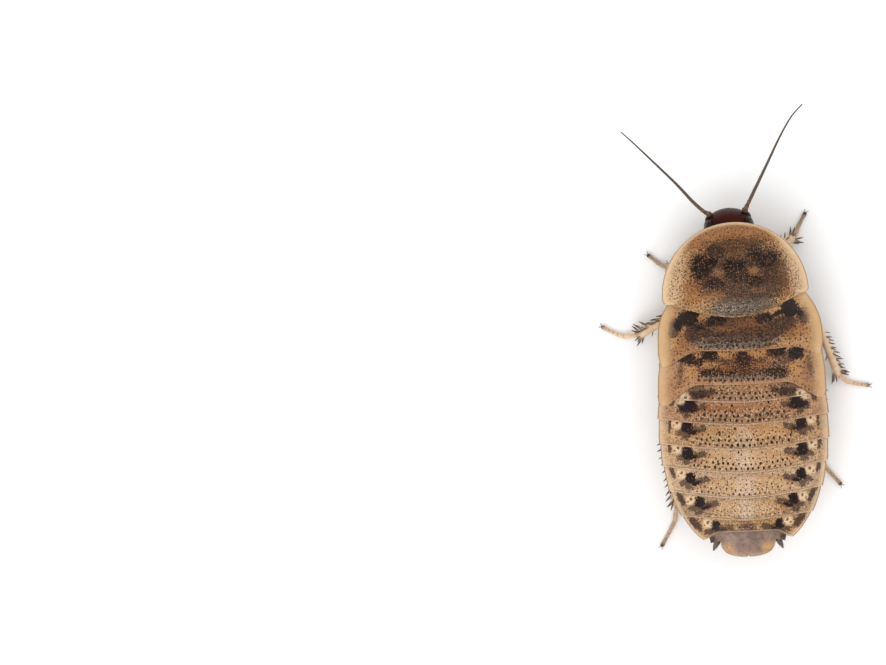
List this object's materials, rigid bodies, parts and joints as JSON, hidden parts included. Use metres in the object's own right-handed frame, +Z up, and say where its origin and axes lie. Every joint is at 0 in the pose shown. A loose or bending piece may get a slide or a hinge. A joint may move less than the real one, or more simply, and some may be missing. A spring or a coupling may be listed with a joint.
{
  "type": "dubia roach nymph",
  "caption": "Life-size still model of a wingless dubia roach nymph, with a domed shield, overlapping back plates, spiny legs and short feelers, standing flat.",
  "frame": {"origin": "on the floor, under the middle of the box round the whole animal with its legs and feelers", "axes": "+Y along the abdomen towards the head, +X to the animal's right, +Z up"},
  "size_m": [0.0244, 0.0398, 0.0078],
  "materials": {
    "pronotum_shell": "satin caramel cuticle with dark mottling and fine dark dots",
    "back_shell": "satin brown cuticle, dark blotches, pale side lobes",
    "abdomen_shell": "satin tan cuticle with rows of dark dots",
    "tail_shell": "grey brown cuticle with amber patches",
    "underside": "plain brown cuticle",
    "head_shell": "dark red brown glossy cuticle",
    "eye": "black, finely faceted",
    "feeler": "grey brown, ringed",
    "leg_shell": "pale tan cuticle, darker spines"
  },
  "bodies": {
    "root": {"pronotum": "pronotum_shell", "mesonotum": "back_shell", "metanotum": "back_shell", "abdomen_segment_1": "abdomen_shell", "abdomen_segment_2": "abdomen_shell", "abdomen_segment_3": "abdomen_shell", "abdomen_segment_4": "abdomen_shell", "abdomen_segment_5": "abdomen_shell", "abdomen_segment_6": "abdomen_shell", "abdomen_segment_7": "abdomen_shell", "abdomen_segment_8": "tail_shell", "supra_anal_plate": "tail_shell", "subgenital_plate": "tail_shell", "cercus_left": "tail_shell", "cercus_right": "tail_shell", "prothorax": "underside", "mesothorax": "underside", "metathorax": "underside", "coxa_front_left": "underside", "coxa_front_right": "underside", "coxa_mid_left": "underside", "coxa_mid_right": "underside", "coxa_hind_left": "underside", "coxa_hind_right": "underside", "head": "head_shell", "eye_left": "eye", "eye_right": "eye", "antenna_left": "feeler", "antenna_right": "feeler", "femur_front_left": "leg_shell", "tibia_front_left": "leg_shell", "tarsus_front_left": "leg_shell", "femur_front_right": "leg_shell", "tibia_front_right": "leg_shell", "tarsus_front_right": "leg_shell", "femur_mid_left": "leg_shell", "tibia_mid_left": "leg_shell", "tarsus_mid_left": "leg_shell", "femur_mid_right": "leg_shell", "tibia_mid_right": "leg_shell", "tarsus_mid_right": "leg_shell", "femur_hind_left": "leg_shell", "tibia_hind_left": "leg_shell", "tarsus_hind_left": "leg_shell", "femur_hind_right": "leg_shell", "tibia_hind_right": "leg_shell", "tarsus_hind_right": "leg_shell"}
  },
  "joints": []
}
